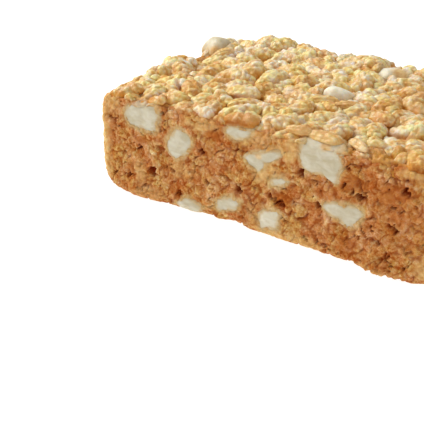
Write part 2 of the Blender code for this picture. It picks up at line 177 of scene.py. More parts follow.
# Local changes of the bar's form: the place, their reach round it, and how far they move what is there.
FORM_CHANGES = (
    ((-46.0, -22.3, 0.5), 4.0, (0.6, 0.4, 0.1)),
    ((-44.5, -22.0, 0.3), 1.6, (0.1, 0.1, 0.35)),
    ((-36.0, -22.3, 0.5), 4.5, (0, -0.8, -0.2)),
    ((-46.0, -22.3, 19.5), 3.6, (0.5, 0.3, -0.3)),
    ((-44.8, 8.4, 20.8), 2.2, (0.3, 0.4, -0.5)),
    ((-44.4, -1.8, 20.3), 2.8, (0, 0, 1.1)),
    ((-39.5, 2.0, 20.0), 3.4, (0, 0, -1.3)),
    ((-41.5, 6.0, 20.5), 2.0, (0, 0, -0.8)),
    ((-36.0, 20.0, 20.3), 3.8, (0, 0, 0.9)),
    ((-17.2, 18.6, 20.5), 2.6, (0, 0, -0.9)),
    ((-8.6, 19.9, 20.5), 2.2, (0, 0, -1.1)),
    ((-9.8, -0.9, 20.3), 2.2, (-0.4, 0, 0.7)),
    ((-6.6, -0.2, 20.3), 2.2, (0.2, 0, 0.4)),
    ((-5.8, 16.4, 20.5), 3.0, (-0.8, -0.5, 0)),
    ((-21.4, -22.3, 0), 1.5, (0, 0.3, 0.9)),
    ((-16.0, -22.3, 0), 2.2, (0, 0.3, 0.8)),
    ((-25.0, -22.3, 0), 2.0, (0, -0.4, 0)),
    ((12.6, -22.3, 0), 2.6, (0, -1.7, 0)),
    ((10.4, -22.3, 0), 1.6, (0, -0.8, 0)),
    ((16.6, -22.3, 0), 2.4, (0, -0.9, 0)),
    ((20.6, -22.3, 0), 1.6, (0, 0.8, 0.5)),
)

# The crumb. Each noise has its span and then its shift, which keeps it apart from the others. A warp has how
# far it moves things, its span, and a shift for each axis.
PROUD = 0.18  # how far the highest crumb stands out past the knife's plane
CRAG_DEPTH = 0.42
CRAG_SPAN = 2.6
CRUMB_WARP = (0.5, 1.3, (3.1, 17.9, 41.3))
LINE_SHIFT = 11.3
GRAIN_LINES = ((1.5, 0.15, 0.20), (0.75, 0.2, 0.08))  # the span, half width and depth of lines between lumps
CRUMB_DEPTH = 0.38
CRUMB_NOISE = (1.0, 31.7)
CELL_SPAN = 2.9  # the cut grains that the crumb is made of
CELL_SEED = 7
CREVICE_DEPTH = 0.6
CREVICE_WIDTH = (0.05, 0.32)
CREVICE_NOISE = (3.1, 57.1)
CREVICED = (0.0, 0.45)  # crevices begin where the noise is above the first, and are whole above the second
# Holes in the crumb: the span between them, the least and most radius, with none below 0, and the depth.
PITS = ((3.4, (-0.60, 0.65), 1.2), (1.4, (-0.36, 0.40), 0.7))
PIT_SEED = 20
HOLE_WARP = (0.95, 0.8, (6.1, 27.3, 51.7))
HOLE_FLOOR = 0.4  # of its radius
CAVITY_DEPTH = 1.5
PRESSED_SPAN = (0.2, 2.2)  # over what height the crumb gets its full relief above the pressed foot
PRESSED_LEAST = 0.4
# The underside's pressed grains, the gaps between them, and its few holes.
BACKS_SPAN = 3.6
BACKS_SEED = 9
BACKS_WARP = (0.5, 1.7, (1.3, 7.7, 21.1))
BACKS_GAP = (0.1, 0.8)
BACKS_GAP_DEPTH = 0.45
BACKS_NOISE = (0.8, 71.3)
BACKS_ROUGH = 0.10
BACKS_PIT_NOISE = (1.9, 23.3)
BACKS_PIT = (0.42, 0.62)
BACKS_PIT_DEPTH = 0.9
# The body's top between the grains.
TOP_DEPTH = 0.8
TOP_SPAN = 1.6
# The edge of the crumb round marshmallow, and what has melted into it.
RAGGED = ((0.40, 1.9, 5.1), (0.15, 0.6, 8.7))
PATCH_NOISE = (1.7, 9.4)
POCKET_DEPTH = 2.0
POCKET_EDGE = (-0.9, -0.4)
RIM_DEPTH = 0.26
RIM_OUTSIDE = 0.9  # how far marshmallow has melted into the crumb round a piece

# Single cavities of the front: place along X, height, and radius.
FRONT_CAVITIES = (
    (-33.1, 6.3, 1.0),
    (-22.2, 12.4, 0.65),
    (-20.9, 7.4, 0.6),
    (-28.3, 7.6, 0.5),
    (-27.4, 3.4, 0.45),
    (-35.9, 9.9, 0.55),
    (-14.4, 7.8, 0.9),
    (-7.8, 7.9, 0.5),
    (-6.6, 7.6, 0.6),
    (-5.4, 7.3, 0.5),
    (-2.5, 13.5, 0.75),
    (0.9, 8.8, 0.7),
    (5.4, 13.2, 0.5),
    (6.7, 13.0, 0.55),
    (8.4, 12.3, 0.7),
    (13.8, 11.9, 0.6),
    (15.8, 15.5, 0.8),
    (14.3, 8.7, 0.7),
    (-19.4, 17.2, 0.5),
    (-38.2, 4.4, 0.6),
    (-30.6, 11.4, 0.45),
)
# Patches of the front: place along X, height, half the width and height, and strength. First red-brown
# toasted places, then golden film, marshmallow smeared up over the crumb, and drops on the marshmallow.
FRONT_TOASTED = (
    (6.4, 3.6, 2.0, 1.5, 1.0),
    (11.0, 15.2, 3.0, 1.6, 0.5),
    (17.5, 11.6, 2.6, 2.2, 0.4),
    (10.4, 9.6, 2.4, 1.4, 0.4),
    (3.4, 12.0, 3.4, 1.4, 0.8),
    (13.3, 14.2, 2.2, 1.8, 1.0),
    (17.4, 6.1, 2.4, 1.6, 0.6),
    (6.0, 10.9, 2.6, 0.9, 0.8),
    (16.0, 11.5, 8.0, 6.0, 0.6),
    (-19.3, 17.0, 2.6, 2.0, 1.0),
    (-21.0, 13.4, 2.4, 2.2, 0.6),
    (-38.2, 5.2, 1.2, 1.8, 1.0),
    (-35.6, 11.6, 2.6, 1.0, 0.7),
    (-42.6, 11.6, 1.4, 1.6, 0.8),
    (-6.5, 8.2, 3.0, 1.2, 1.0),
    (6.5, 14.0, 3.4, 1.6, 1.0),
    (14.5, 14.8, 3.0, 1.8, 1.0),
    (-29.6, 12.8, 1.0, 2.6, 0.9),
    (-27.3, 3.6, 0.7, 1.4, 1.0),
    (-44.0, 19.0, 2.0, 2.0, 1.0),
)
FRONT_FILMS_AND_LIGHT = (
    (-8.5, 17.2, 8.0, 2.0, 0.5),
    (-9.3, 12.3, 3.4, 2.6, 0.66),
    (-43.0, 17.6, 3.4, 2.4, 0.8),
    # This film down the left end is painted light on the rounded left corner, as well as golden film.
    (-45.6, 9.0, 3.2, 10.0, 1.0),
    (-35.8, 5.0, 1.6, 3.4, 0.5),
    (-22.0, 17.6, 4.0, 1.3, 0.66),
    (-4.4, 17.2, 1.3, 2.8, 0.8),
    (-26.8, 8.0, 3.6, 2.0, 0.35),
    (-33.7, 1.8, 3.6, 1.8, 0.5),
    (-8.0, 0.9, 5.4, 1.5, 0.8),
    (-11.6, 4.0, 1.6, 1.8, 0.5),
    (-1.4, 1.3, 4.2, 1.6, 0.8),
    (11.0, 0.6, 5.0, 1.3, 0.35),
    (20.5, 3.4, 2.4, 2.4, 0.6),
    (-37.0, 19.8, 3.6, 1.2, 0.6),
    (18.0, 18.4, 3.6, 1.3, 0.7),
)
FRONT_SMEARS = ((1.1, 19.5, 3.2, 1.5, 1.0), (-35.4, 18.1, 1.8, 0.9, 0.7))
FRONT_DROPS = (
    (1.6, 19.0, 1.1, 0.8, 0.9),
    (-2.6, 19.1, 0.8, 0.8, 0.8),
    (-4.9, 15.6, 0.9, 0.9, 0.6),
    (-10.4, 14.6, 0.8, 0.7, 0.7),
)
PATCH_EDGE = (-1.15, -0.5)  # minus the shares of its half width where a patch ends, and where it is whole

# Where crumb cuts into the front's marshmallow, and where that has spread over the crumb: how much wider than
# high each is, how far it moves the edge for its reach, and for each its place along X, height, and reach.
STRAYS = (
    (1, 1.2, ((-13.4, 14.9, 0.8), (5.3, 19.3, 1.4), (0.6, 13.4, 0.9))),
    (2, -1, ((-1.8, 19.2, 0.5), (-35.6, 17.9, 0.7))),
)

# Where golden sugar lies over the marshmallow of the top: the place, and how far round it.
TOP_FILMS = (
    ((-41.3, 7.7, 19.4), 1.7),
    ((-5.0, -0.6, 20.1), 1.7),
    ((-3.2, 15.8, 20.3), 2.3),
)
# Where the top's grains are paler, or toasted more, below nothing: the place, how far round it, and how much.
PALE_PLACES = (
    ((-35.0, -6.9), 3.5, 0.35),
    ((-20.7, -9.6), 3.5, 0.35),
    ((-27.8, 0.7), 3.5, 0.25),
    ((-5.5, -14.5), 3.5, 0.3),
    ((-19.0, -20.5), 3.0, -0.6),
    ((-15.0, -18.5), 3.0, -0.2),
    ((-15.2, 8.5), 4.0, -0.3),
    ((0.8, 8.9), 4.5, -0.5),
    ((7.0, -10.7), 3.2, 1.2),
    ((-16.3, -16.0), 2.6, 0.35),
    ((-37.7, -4.7), 3.0, 0.25),
    ((-28.7, 2.0), 3.0, 0.2),
    ((17.5, -20.5), 3.5, 0.5),
)
# How much of the lit white each piece gets where it differs from the others of its face: whole lit white is
# 1. Partly painted light: the top's pieces are painted whiter as lit from above and the front's duller as in
# shade; the first top piece is painted duller where the lamp lights it most, and some pieces are whiter than
# others.
WHITENESS_AND_LIGHT = {"marshmallow_top_1": 0.0, "marshmallow_top_2": 1.0, "marshmallow_front_8": 0.5}

# The marshmallow pieces. In the front, the corners of each one's outline, along X and up. In the other faces,
# each one's place, width and height, and turn in degrees.
FRONT_OUTLINES = (
    ((-39.6, 15.8), (-37.7, 17.8), (-35.0, 17.6), (-32.6, 18.8), (-31.0, 16.5), (-32.4, 13.4), (-38.4, 13.7)),
    ((-29.8, 12.8), (-27.3, 15.7), (-25.0, 15.4), (-24.0, 13.6), (-25.1, 11.4), (-27.5, 9.5), (-29.4, 10.6)),
    ((-17.7, 17.1), (-16.1, 18.4), (-11.3, 18.6), (-12.4, 17.2), (-15.0, 16.3)),
    ((-13.8, 13.8), (-11.5, 15.0), (-5.6, 16.8), (-6.4, 15.1), (-8.6, 13.5), (-10.3, 11.7), (-12.3, 12.5)),
    ((-8.2, 11.0), (-5.7, 12.2), (-4.5, 11.5), (-5.7, 10.4), (-7.9, 9.9)),
    (
        *((-2.8, 16.8), (-2.6, 18.9), (4.9, 19.2), (4.9, 15.1), (4.6, 13.4)),
        *((3.3, 13.3), (2.5, 14.3), (-1.0, 14.1), (-2.4, 15.1)),
    ),
    ((1.3, 9.2), (3.9, 10.5), (8.4, 10.5), (9.4, 9.4), (6.8, 6.4), (3.9, 7.6)),
    ((-10.3, 4.2), (-9.0, 5.4), (-6.1, 5.7), (-6.4, 2.2), (-9.9, 1.6)),
    ((-19.1, 4.4), (-16.0, 5.9), (-13.7, 5.4), (-14.7, 3.4), (-18.9, 2.3)),
    ((-28.0, 1.6), (-25.2, 3.2), (-21.4, 2.1), (-22.8, 0.3), (-27.2, 0.3)),
    ((23.0, 5.8), (25.2, 7.2), (28.6, 5.4), (27.4, 2.8), (23.8, 2.2)),
    ((26.4, 15.6), (30.0, 17.2), (33.8, 15.4), (33.0, 11.4), (28.6, 11.0), (26.6, 13.0)),
    ((35.8, 9.6), (38.0, 11.8), (41.4, 10.6), (41.6, 6.2), (38.8, 4.8), (36.0, 6.4)),
)
OTHER_PIECES = {
    "back": (
        (-36.0, 7.0, 7.2, 5.2, 10),
        (-24.0, 14.6, 6.0, 5.4, -14),
        (-9.5, 8.4, 8.4, 6.0, 6),
        (4.0, 16.0, 6.6, 4.4, -8),
        (16.5, 5.6, 6.2, 5.8, 18),
        (29.0, 12.4, 8.0, 5.6, -4),
        (39.5, 4.8, 5.0, 4.4, 0),
    ),
    "top": (
        (-42.4, 10.4, 7.0, 6.2, 30),
        (-8.3, -0.4, 6.8, 4.0, 22),
        (-5.8, 16.4, 6.8, 5.0, 20),
        (11.2, 0.4, 6.8, 6.4, 24),
        (26.5, -9.5, 7.0, 5.0, -36),
        (36.0, 11.0, 5.8, 5.2, 12),
    ),
    "left": ((-9.0, 8.2, 7.0, 5.4, -10), (8.6, 11.4, 6.2, 5.8, 16)),
    "right": ((-10.4, 12.2, 6.8, 6.0, 8), (9.2, 6.4, 7.4, 5.2, -12)),
    "underside": ((-18.0, 6.5, 7.2, 6.0, 20), (21.0, -5.0, 6.4, 6.8, -30)),
}

# The camera: the view of the photograph, worked out from the bar's outline in it.
CAMERA_AZIMUTH = math.radians(36.43)
CAMERA_ELEVATION = math.radians(25.76)
CAMERA_DISTANCE = 203.2
CAMERA_TARGET = Vector((-36.04, 0, -11.38))
CAMERA_LENS = 84.85
SENSOR_WIDTH = 36

# The colours. Those that change over the surface are the stops of a ramp.
SKIN = (
    (0.34, (0.65, 0.32, 0.09)),
    (0.46, (0.835, 0.57, 0.27)),
    (0.58, (0.90, 0.76, 0.51)),
    (0.74, (0.96, 0.91, 0.82)),
)
CRUMB = (
    (0.55, (0.41, 0.11, 0.012)),
    (0.68, (0.645, 0.335, 0.108)),
    (0.79, (0.775, 0.49, 0.21)),
    (0.92, (0.92, 0.72, 0.43)),
)
SKIN_YELLOWS = ((0.40, (1, 0.99, 0.55)), (0.60, (1, 1, 1)))
CRUMB_EARTHS = ((0.38, (1, 0.85, 0.86)), (0.5, (1, 0.96, 0.92)), (0.62, (0.97, 1, 0.78)))
CRUMB_REDS = ((0.40, (1, 0.90, 0.80)), (0.58, (0.99, 1, 1)))
TOASTED = (0.52, 0.165, 0.028)
# Painted shade: the colours of the grains' creases and lower sides, of the crumb's crevices, and of its
# holes.
SKIN_CREASE_SHADE = (0.59, 0.22, 0.028)
CRUMB_CREVICE_SHADE = (0.34, 0.06, 0.003)
HOLE_SHADE = (0.27, 0.024, 0.0005)
MELTED = ((0.36, (0.52, 0.31, 0.11)), (0.64, (0.68, 0.50, 0.25)))  # marshmallow melted into the rice
GOLDEN = ((0.35, (0.68, 0.35, 0.09)), (0.62, (0.89, 0.62, 0.26)))  # sugar film
SMEARED = (0.66, 0.58, 0.42)  # where marshmallow is smeared over the crumb
# Marshmallow painted as in shade, for the pieces of the cut faces, and as lit, for those of the top: painted
# shade and painted light on one white.
SHADED_MARSHMALLOW = ((0.35, (0.56, 0.48, 0.31)), (0.65, (0.69, 0.63, 0.48)))
LIT_MARSHMALLOW = ((0.35, (0.74, 0.65, 0.46)), (0.65, (0.90, 0.84, 0.68)))

WORLD_LIGHT = 0.6
KEY_FROM = Vector((-400, -20, 320))
KEY_SIZE = 240
KEY_POWER = 2.0
KEY_COLOUR = (1, 0.98, 0.94)
FLOOR_SIZE = 3000
FLOOR_SHADE = 0.25
FLOOR_GLOW = 0.95


# ---- numbers over arrays of points ----


def smooth_step(values, low, high):
    share = np.clip((values - low) / (high - low), 0, 1)
    return share * share * (3 - 2 * share)


def noise_at(points, span, shift=0.0):
    """Smooth noise from -1 to 1 that changes over this span."""
    return np.array([noise.noise(point) for point in (points / span + shift).tolist()])


def layered(points, layers):
    """The sum of layers of smooth noise, each with how much there is of it, its span and its shift."""
    return sum(much * noise_at(points, *where) for much, *where in layers)


def warped(points, much, span, shifts):
    """The points moved about by smooth noise, which bends what is laid out over them."""
    return points + much * np.column_stack([noise_at(points, span, shift) for shift in shifts])


def hump(points, place, reach):
    """How near each point is to a place: 1 there, and little past this reach."""
    return np.exp(-((np.linalg.norm(points - place, axis=-1) / reach) ** 2))


# ---- the layout of the solids ----


def rounded_drop(distance, radius):
    """How far a rounded edge falls away from one face of the bar at this distance from the other."""
    inward = np.clip(radius - distance, 0, radius)
    return radius - np.sqrt(radius**2 - inward**2)


def swell_at(x, y):
    """How far the top's usual level lies above HEIGHT here."""
    swell = SWELL * noise.noise(Vector((x, y, 0)) / SWELL_SPAN)
    for place, span, rise in RISES:
        away = math.hypot(x - place[0], y - place[1]) / span
        swell += rise * math.exp(-(away**2))
    return swell


def top_level(x, y):
    """The level of the grains' backs over a point of the plan."""
    at_end = rounded_drop(LENGTH / 2 - abs(x), END_ROUND)
    at_side = rounded_drop(WIDTH / 2 - abs(y), SIDE_ROUND)
    return HEIGHT + swell_at(x, y) - max(at_end, at_side)


def footprint_overlap(a, b, closeness):
    apart = b["place"] - a["place"]
    reach = apart.length
    if reach > a["size"][0] / 2 + b["size"][0] / 2:
        return False
    toward = math.atan2(apart.y, apart.x)
    room = 0
    for grain in (a, b):
        turned = toward - grain["turn"]
        along = math.cos(turned) / (grain["size"][0] / 2)
        across = math.sin(turned) / (grain["size"][1] / 2)
        room += 1 / math.hypot(along, across)
    return reach < closeness * room


def fits(grain, laid, room, closeness):
    """Whether a grain is clear of the top's marshmallow by this room and of the grains laid so far."""
    for x, y, width, height, _ in OTHER_PIECES["top"]:
        clear = (width + height) / 4 + GRAIN_SIZE[1] * room
        if (grain["place"] - Vector((x, y))).length < clear:
            return False
    return not any(footprint_overlap(grain, other, closeness) for other in laid)


def draw_grain(draw, smallest, tilt, lift, rolled):
    """A grain's place and pose. Two of its draws serve the solids alone: they are made to keep the order."""
    margin = GRAIN_SIZE[1] * smallest * GRAIN_MARGIN
    x = draw.uniform(-1, 1) * (LENGTH / 2 - margin)
    y = draw.uniform(-1, 1) * (WIDTH / 2 - margin)
    grain = {"place": Vector((x, y))}
    grain["turn"] = draw.uniform(-math.pi / 2, math.pi / 2)
    grain["tilt"] = draw.gauss(0, tilt)
    if rolled:
        draw.random()
    grain["bend"] = draw.uniform(-GRAIN_BEND, GRAIN_BEND)
    grain["lift"] = draw.uniform(*lift)
    draw.random()
    return grain


def lay_grains():
    """The whole grains, the largest first, by the draws of the solids."""
    draw = random.Random(GRAIN_SEED)
    laid = []
    for attempt in range(GRAIN_TRIES):
        scale = 1 + GRAIN_SPREAD * (1 - 2 * attempt / GRAIN_TRIES)
        slim = draw.uniform(1 - GRAIN_SLIMNESS, 1 + GRAIN_SLIMNESS)
        grain = draw_grain(draw, 1, GRAIN_TILT, GRAIN_LIFT, True)
        grain["size"] = GRAIN_SIZE * (1 / slim, slim, 1) * scale
        if fits(grain, laid, TOP_PIECE_ROOM, GRAIN_CLOSENESS):
            laid.append(grain)
            if len(laid) == GRAIN_COUNT:
                break
    return laid


def lay_fillers(laid):
    """Small grains in the gaps that the whole ones leave, a little lower."""
    draw = random.Random(FILLER_SEED)
    added = []
    for attempt in range(FILLER_TRIES):
        scale = FILLER_SCALE[1] - (FILLER_SCALE[1] - FILLER_SCALE[0]) * attempt / FILLER_TRIES
        grain = draw_grain(draw, FILLER_SCALE[0], FILLER_TILT, FILLER_LIFT, False)
        grain["size"] = GRAIN_SIZE * FILLER_STRETCH * scale
        if fits(grain, laid + added, 0, FILLER_CLOSENESS):
            added.append(grain)
            if len(added) == FILLER_COUNT:
                break
    return added


def edge_grains():
    """The single grains that are placed one by one."""
    grains = []
    for place, turn, scale, lift in EDGE_GRAINS:
        pose = {"place": Vector(place), "turn": math.radians(turn), "lift": lift}
        grains.append({**pose, **EDGE_LOOKS, "size": GRAIN_SIZE * EDGE_STRETCH * scale})
    return grains


def seen_piece(corners):
    corners = [Vector(corner) for corner in corners]
    middle = sum(corners, Vector((0, 0))) / len(corners)
    return {"face": "front", "middle": middle, "corners": [corner - middle for corner in corners]}


def drawn_piece(face, along, up, width, height, turn):
    draw = random.Random(f"{PIECE_SEED} {face} {along}")
    turned = Matrix.Rotation(math.radians(turn), 2)
    corners = []
    for step in range(DRAWN_CORNERS):
        angle = 2 * math.pi * (step + draw.uniform(-DRAWN_STEP, DRAWN_STEP)) / DRAWN_CORNERS
        on_ellipse = Vector((math.cos(angle) * width, math.sin(angle) * height)) / 2
        corners.append(turned @ on_ellipse * draw.uniform(*DRAWN_REACH))
    return {"face": face, "middle": Vector((along, up)), "corners": corners}


def straight_reach(corners, angle):
    ahead = Vector((math.cos(angle), math.sin(angle)))
    reach = 0
    for start, end in zip(corners, corners[1:] + corners[:1]):
        side = end - start
        crossing = ahead.cross(side)
        if crossing == 0:
            continue
        distance = start.cross(side) / crossing
        share = start.cross(ahead) / crossing
        if 0 <= share <= 1:
            reach = max(reach, distance)
    return reach


def soft_reach(corners, angle):
    nearby = [angle + PIECE_SOFTNESS * step / 2 for step in (-2, -1, 0, 1, 2)]
    return sum(straight_reach(corners, near) for near in nearby) / len(nearby)


def face_frame(face, middle, depth):
    """A matrix with X and Y in a face of the bar and Z out of it, from a point this deep below the middle."""
    along, up = middle
    sides = {
        "front": ((1, 0, 0), (0, 0, 1), Vector((along, -WIDTH / 2, up))),
        "back": ((-1, 0, 0), (0, 0, 1), Vector((along, WIDTH / 2, up))),
        "left": ((0, -1, 0), (0, 0, 1), Vector((-LENGTH / 2, along, up))),
        "right": ((0, 1, 0), (0, 0, 1), Vector((LENGTH / 2, along, up))),
        "top": ((1, 0, 0), (0, 1, 0), Vector((along, up, top_level(along, up)))),
        "underside": ((-1, 0, 0), (0, 1, 0), Vector((along, up, 0))),
    }
    x_axis, y_axis, at_face = sides[face]
    outward = Vector(x_axis).cross(Vector(y_axis))
    frame = Matrix((x_axis, y_axis, outward)).transposed().to_4x4()
    frame.translation = at_face - outward * depth
    return frame


def all_pieces():
    """Every marshmallow piece by its node's name, with its frame and its reach all round."""
    pieces = {}
    for number, corners in enumerate(FRONT_OUTLINES, 1):
        pieces[f"marshmallow_front_{number}"] = seen_piece(corners)
    for face, shapes in OTHER_PIECES.items():
        for number, shape in enumerate(shapes, 1):
            pieces[f"marshmallow_{face}_{number}"] = drawn_piece(face, *shape)
    for piece in pieces.values():
        on_top = piece["face"] == "top"
        depth = TOP_PIECE_THICKNESS * TOP_PIECE_SUNK if on_top else 0
        piece["frame"] = np.array(face_frame(piece["face"], piece["middle"], depth))
        piece["angles"] = np.linspace(-math.pi, math.pi, PIECE_AROUND + 1)
        piece["reach"] = np.array([soft_reach(piece["corners"], angle) for angle in piece["angles"]])
    return pieces


# ---- meshes ----


def transformed(points, matrix):
    return points @ matrix[:3, :3].T + matrix[:3, 3]


def make_piece(name, points, faces, attributes, material, slot, *nodes):
    """Makes a piece of the bar from points in millimetres and triangles, and ties it to the frame."""
    mesh = bpy.data.meshes.new(name)
    mesh.vertices.add(len(points))
    mesh.vertices.foreach_set("co", (changed_form(points) * MM).astype(np.float32).ravel())
    mesh.loops.add(3 * len(faces))
    mesh.loops.foreach_set("vertex_index", faces.astype(np.int32).ravel())
    mesh.polygons.add(len(faces))
    mesh.polygons.foreach_set("loop_start", np.arange(0, 3 * len(faces), 3, dtype=np.int32))
    mesh.update(calc_edges=True)
    mesh.validate()
    for key, values in attributes.items():
        layer = mesh.attributes.new(key, "FLOAT", "POINT")
        layer.data.foreach_set("value", values.astype(np.float32))
    mesh.materials.append(material)
    mesh.shade_smooth()
    obj = bpy.data.objects.new(name, mesh)
    bpy.context.scene.collection.objects.link(obj)
    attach(obj, "root")
    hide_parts(*nodes)


def ball(upper, lower, along):
    """A ball of radius 1 with its poles on X, as points and triangles, finer on its upper part."""
    above = UPPER_TURN * np.arange(upper) / upper
    below = UPPER_TURN + (2 * math.pi - UPPER_TURN) * np.arange(lower) / lower
    turns = (math.pi - UPPER_TURN) / 2 + np.concatenate((above, below))
    tilts = math.pi * np.arange(1, along) / along
    around = np.stack(np.meshgrid(tilts, turns, indexing="ij"), axis=-1).reshape(-1, 2)
    ring = np.sin(around[:, 0])
    across = np.cos(around[:, 1]), np.sin(around[:, 1])
    points = np.column_stack((-np.cos(around[:, 0]), ring * across[0], ring * across[1]))
    count = upper + lower
    column = np.arange(count)
    after = (column + 1) % count
    end = (along - 2) * count
    faces = [net_faces(along - 1, count, True)]
    faces.append(np.column_stack((np.full(count, len(points)), after, column)))
    faces.append(np.column_stack((np.full(count, len(points) + 1), end + column, end + after)))
    return np.concatenate((points, ((-1, 0, 0), (1, 0, 0)))), np.concatenate(faces)


def net_faces(rows, columns, closed):
    """Triangles of a net of rows and columns, closed where its last column meets its first."""
    column = np.arange(columns if closed else columns - 1)
    after = (column + 1) % columns
    faces = []
    for row in range(rows - 1):
        low, high = row * columns, (row + 1) * columns
        faces.append(np.column_stack((low + column, low + after, high + after)))
        faces.append(np.column_stack((low + column, high + after, high + column)))
    return np.concatenate(faces)


def changed_form(points):
    """The points with the local changes of the bar's form."""
    changed = points.copy()
    for place, reach, move in FORM_CHANGES:
        changed += hump(points, place, reach)[:, None] * move
    changed[:, 2] = np.maximum(changed[:, 2], LOWEST)
    return changed


def outline_gap(points, piece):
    """How far each point lies outside a marshmallow piece's outline, in its face, and how deep below it."""
    local = (points - piece["frame"][:3, 3]) @ piece["frame"][:3, :3]
    angles = np.arctan2(local[:, 1], local[:, 0])
    reach = np.interp(angles, piece["angles"], piece["reach"])
    return np.hypot(local[:, 0], local[:, 1]) - reach, -local[:, 2]


def gap_to_pieces(points, pieces, faces_of_bar):
    """The least gap to the pieces of these faces of the bar."""
    least = np.full(len(points), 99.0)
    for piece in pieces.values():
        if piece["face"] not in faces_of_bar:
            continue
        gap, depth = outline_gap(points, piece)
        gap = np.where(np.abs(depth) < PIECE_DEPTH, gap, 99)
        least = np.minimum(least, gap)
    return least


def ragged(points):
    """How far the crumb's edge strays from a piece's outline."""
    stray = layered(points, RAGGED)
    for wide, much, places in STRAYS:
        for x, z, reach in places:
            away = np.hypot((points[:, 0] - x) / wide, points[:, 2] - z) / reach
            stray = stray + much * reach * np.exp(-(away**2)) * (points[:, 1] < -WIDTH / 3)
    return stray


def edge_inset(points):
    """How far the bar's rounded edges lie in from the planes of its sides at each point's height."""
    tops = np.array([top_level(x, y) for x, y, _ in points.tolist()])
    return np.maximum(rounded_drop(points[:, 2], FOOT_ROUND), rounded_drop(tops - points[:, 2], SIDE_ROUND))


# ---- the body ----


def perimeter():
    """Points and outward directions round the plan, anticlockwise from the right end's middle."""
    reach = np.array((LENGTH / 2 - CORNER_ROUND, WIDTH / 2 - CORNER_ROUND))
    points, directions = [], []
    turns = round(math.pi / 2 * CORNER_ROUND / COLUMN_STEP)
    sides = ((1, 1), (-1, 1), (-1, -1), (1, -1))
    for number, side in enumerate(sides):
        middle = reach * side
        along = reach * sides[(number + 1) % 4] - middle
        steps = 2 * round(float(np.abs(along).sum()) / COLUMN_STEP / 2)
        run = [(middle, 90 * number + 90 * step / turns) for step in range(turns)]
        run += [(middle + along * step / steps, 90 * number + 90) for step in range(steps)]
        for centre, angle in run:
            directions.append(np.array((math.cos(math.radians(angle)), math.sin(math.radians(angle)))))
            points.append(centre + CORNER_ROUND * directions[-1])
    shift = round(reach[1] / COLUMN_STEP)
    return np.roll(points, shift, axis=0), np.roll(directions, shift, axis=0)


def body_top(x, y):
    """The level of the body's top between the grains: it rises a little towards the cut sides."""
    inward = min(LENGTH / 2 - abs(x), WIDTH / 2 - abs(y))
    return CORE_TOP + swell_at(x, y) + EDGE_RISE * math.exp(-((inward / EDGE_RISE_SPAN) ** 2))


def edge_radius(plan, directions, side_round):
    """The rounding of the walls' edges, less towards the corners, where it would fold over itself."""
    past = np.abs(plan) - np.array((LENGTH, WIDTH)) / 2 + CORNER_ROUND
    from_corner = np.maximum(-past.min(axis=1), 0)
    usual = side_round + (END_ROUND - side_round) * directions[:, 0] ** 2
    return np.minimum(usual, 0.85 * CORNER_ROUND + 0.6 * from_corner)


def body_walls():
    """The cut sides with their rounded edges, as rows of columns: points and outward directions."""
    plan, directions = perimeter()
    foot = edge_radius(plan, directions, FOOT_ROUND)
    shoulder = edge_radius(plan, directions, SIDE_ROUND)
    top = np.array([body_top(x, y) for x, y in plan - directions * shoulder[:, None]])
    profile = [(foot, foot, math.pi / 2 * (step / FOOT_ROWS - 1)) for step in range(FOOT_ROWS)]
    for step in range(WALL_ROWS):
        middle = foot + (top - foot - shoulder) * step / WALL_ROWS
        profile.append((middle, foot, 0.0))
    for step in range(SHOULDER_ROWS + 1):
        profile.append((top - shoulder, shoulder, math.pi / 2 * step / SHOULDER_ROWS))
    rows, outward = [], []
    for middle, radius, tilt in profile:
        flat = plan - directions * (radius * (1 - math.cos(tilt)))[:, None]
        rows.append(np.column_stack((flat, middle + radius * math.sin(tilt))))
        outward.append(np.column_stack((directions * math.cos(tilt), np.full(len(plan), math.sin(tilt)))))
    return np.array(rows), np.array(outward)


def cap(ring, step, seed):
    """A flat net of triangles in a ring of points: the added points, and the faces, counted from the ring."""
    draw = np.random.RandomState(seed)
    low, high = ring.min(axis=0), ring.max(axis=0)
    xs = np.arange(low[0] + step, high[0] - step / 2, step)
    ys = np.arange(low[1] + step, high[1] - step / 2, step)
    grid = np.stack(np.meshgrid(xs, ys), axis=-1).reshape(-1, 2)
    grid = grid + draw.uniform(-CAP_JITTER, CAP_JITTER, grid.shape) * step
    corner = high - CORNER_ROUND
    past = np.maximum(np.abs(grid) - corner, 0)
    grid = grid[np.hypot(past[:, 0], past[:, 1]) < CORNER_ROUND - step / 2]
    points = [Vector(point) for point in np.concatenate((ring, grid)).tolist()]
    edges = [(index, (index + 1) % len(ring)) for index in range(len(ring))]
    _, _, faces, *_ = delaunay_2d_cdt(points, edges, [], 1, 1e-6, False)
    return grid, np.array(faces)


def scatter_over_bar(span, seed):
    """Places scattered over the cut sides and the underside, about this far apart."""
    draw = np.random.RandomState(seed)
    plan, _ = perimeter()
    step = round(span / COLUMN_STEP)
    places = []
    for column in range(0, len(plan), step):
        for z in np.arange(span / 2, HEIGHT + span / 2, span):
            moved = round(column + draw.uniform(-0.5, 0.5) * step) % len(plan)
            places.append((*plan[moved], z + draw.uniform(-0.5, 0.5) * span))
    for x in np.arange(-LENGTH / 2 + span, LENGTH / 2 - span / 2, span):
        for y in np.arange(-WIDTH / 2 + span, WIDTH / 2 - span / 2, span):
            places.append((x + draw.uniform(-0.5, 0.5) * span, y + draw.uniform(-0.5, 0.5) * span, 0))
    return places, draw.uniform(size=len(places))


def nearest_two(points, places):
    """For each point, the distances to the two nearest places and the nearest one's number."""
    tree = kdtree.KDTree(len(places))
    for index, place in enumerate(places):
        tree.insert(place, index)
    tree.balance()
    found = [tree.find_n(point, 2) for point in points.tolist()]
    near = np.array([pair[0][2] for pair in found])
    after = np.array([pair[1][2] for pair in found])
    return near, after, np.array([pair[0][1] for pair in found])


